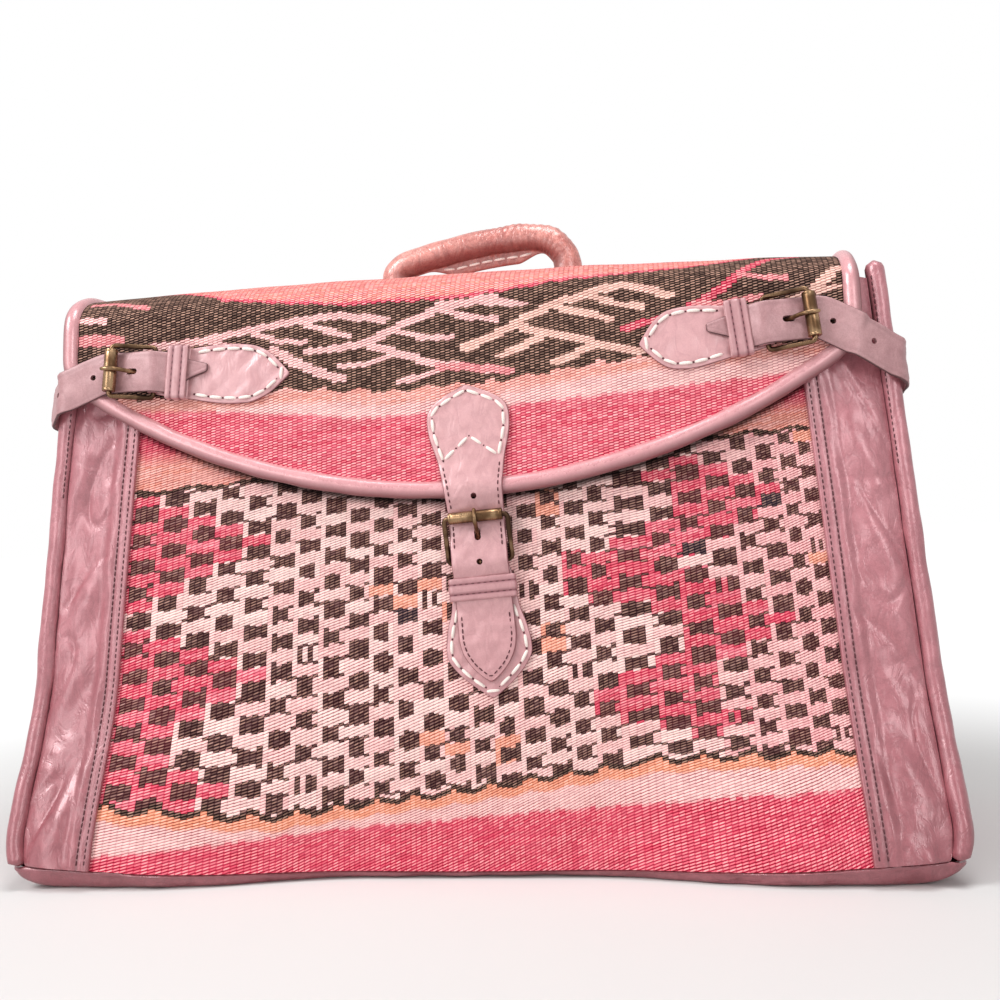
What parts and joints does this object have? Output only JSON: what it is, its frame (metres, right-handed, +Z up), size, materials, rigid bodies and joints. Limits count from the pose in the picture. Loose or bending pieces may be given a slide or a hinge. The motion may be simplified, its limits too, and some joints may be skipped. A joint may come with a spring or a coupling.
{
  "type": "kilim travel bag",
  "caption": "Woven kilim and leather travel bag with a wide curved flap, strap-and-buckle fastenings and a rolled top handle.",
  "frame": {"origin": "on the floor, under the middle of the base", "axes": "+Z up, +X along the bag's width, to the right as one faces its front; the front with its flap and buckles faces -Y"},
  "size_m": [0.5596, 0.2517, 0.4013],
  "materials": {
    "kilim": "coarse woven wool in pink, peach, pale pink and dark brown",
    "rose_leather": "creased, satin",
    "salmon_leather": "smooth, satin",
    "mauve_leather": "worn, satin",
    "pale_rose_leather": "smooth, satin",
    "aged_brass": "aged, dark"
  },
  "bodies": {
    "bag": {"base_panel": "rose_leather", "front_kilim_panel": "kilim", "back_kilim_panel": "kilim", "flap_kilim": "kilim", "flap_binding": "salmon_leather", "handle_roll": "salmon_leather", "handle_patch_left": "salmon_leather", "handle_patch_right": "salmon_leather", "centre_strap": "pale_rose_leather", "front_leather_strip_left": "rose_leather", "back_leather_strip_left": "rose_leather", "edge_roll_front_left": "rose_leather", "edge_roll_back_left": "rose_leather", "gusset_left": "rose_leather", "side_strap_left": "mauve_leather", "front_leather_strip_right": "rose_leather", "back_leather_strip_right": "rose_leather", "edge_roll_front_right": "rose_leather", "edge_roll_back_right": "rose_leather", "gusset_right": "rose_leather", "side_strap_right": "mauve_leather", "buckle_tab_left": "pale_rose_leather", "keeper_left": "pale_rose_leather", "buckle_frame_left": "aged_brass", "buckle_tab_right": "pale_rose_leather", "keeper_right": "pale_rose_leather", "buckle_frame_right": "aged_brass", "buckle_tab_centre": "pale_rose_leather", "keeper_centre": "pale_rose_leather", "buckle_frame_centre": "aged_brass"},
    "roller_left": {"buckle_roller_left": "aged_brass"},
    "prong_left": {"buckle_prong_left": "aged_brass"},
    "roller_right": {"buckle_roller_right": "aged_brass"},
    "prong_right": {"buckle_prong_right": "aged_brass"},
    "roller_centre": {"buckle_roller_centre": "aged_brass"},
    "prong_centre": {"buckle_prong_centre": "aged_brass"}
  },
  "joints": [
    {"name": "roller_left_spin", "type": "hinge", "parent": "bag", "child": "roller_left", "pos_m": [-0.21432, -0.09329, 0.30726], "axis": [0.0507, 0.1446, 0.9882], "continuous": true},
    {"name": "prong_left_lift", "type": "hinge", "parent": "bag", "child": "prong_left", "pos_m": [-0.18826, -0.08748, 0.30507], "axis": [0.0507, 0.1446, 0.9882], "range_deg": [0, 5]},
    {"name": "roller_right_spin", "type": "hinge", "parent": "bag", "child": "roller_right", "pos_m": [0.20613, -0.09193, 0.3177], "axis": [0.1032, -0.1469, -0.9837], "continuous": true},
    {"name": "prong_right_lift", "type": "hinge", "parent": "bag", "child": "prong_right", "pos_m": [0.1802, -0.08624, 0.31413], "axis": [0.1032, -0.1469, -0.9837], "range_deg": [0, 5]},
    {"name": "roller_centre_spin", "type": "hinge", "parent": "bag", "child": "roller_centre", "pos_m": [0.00883, -0.10263, 0.20962], "axis": [0.9978, 0.0106, 0.0649], "continuous": true},
    {"name": "prong_centre_lift", "type": "hinge", "parent": "bag", "child": "prong_centre", "pos_m": [0.01052, -0.09846, 0.18299], "axis": [0.9978, 0.0106, 0.0649], "range_deg": [0, 3]}
  ]
}
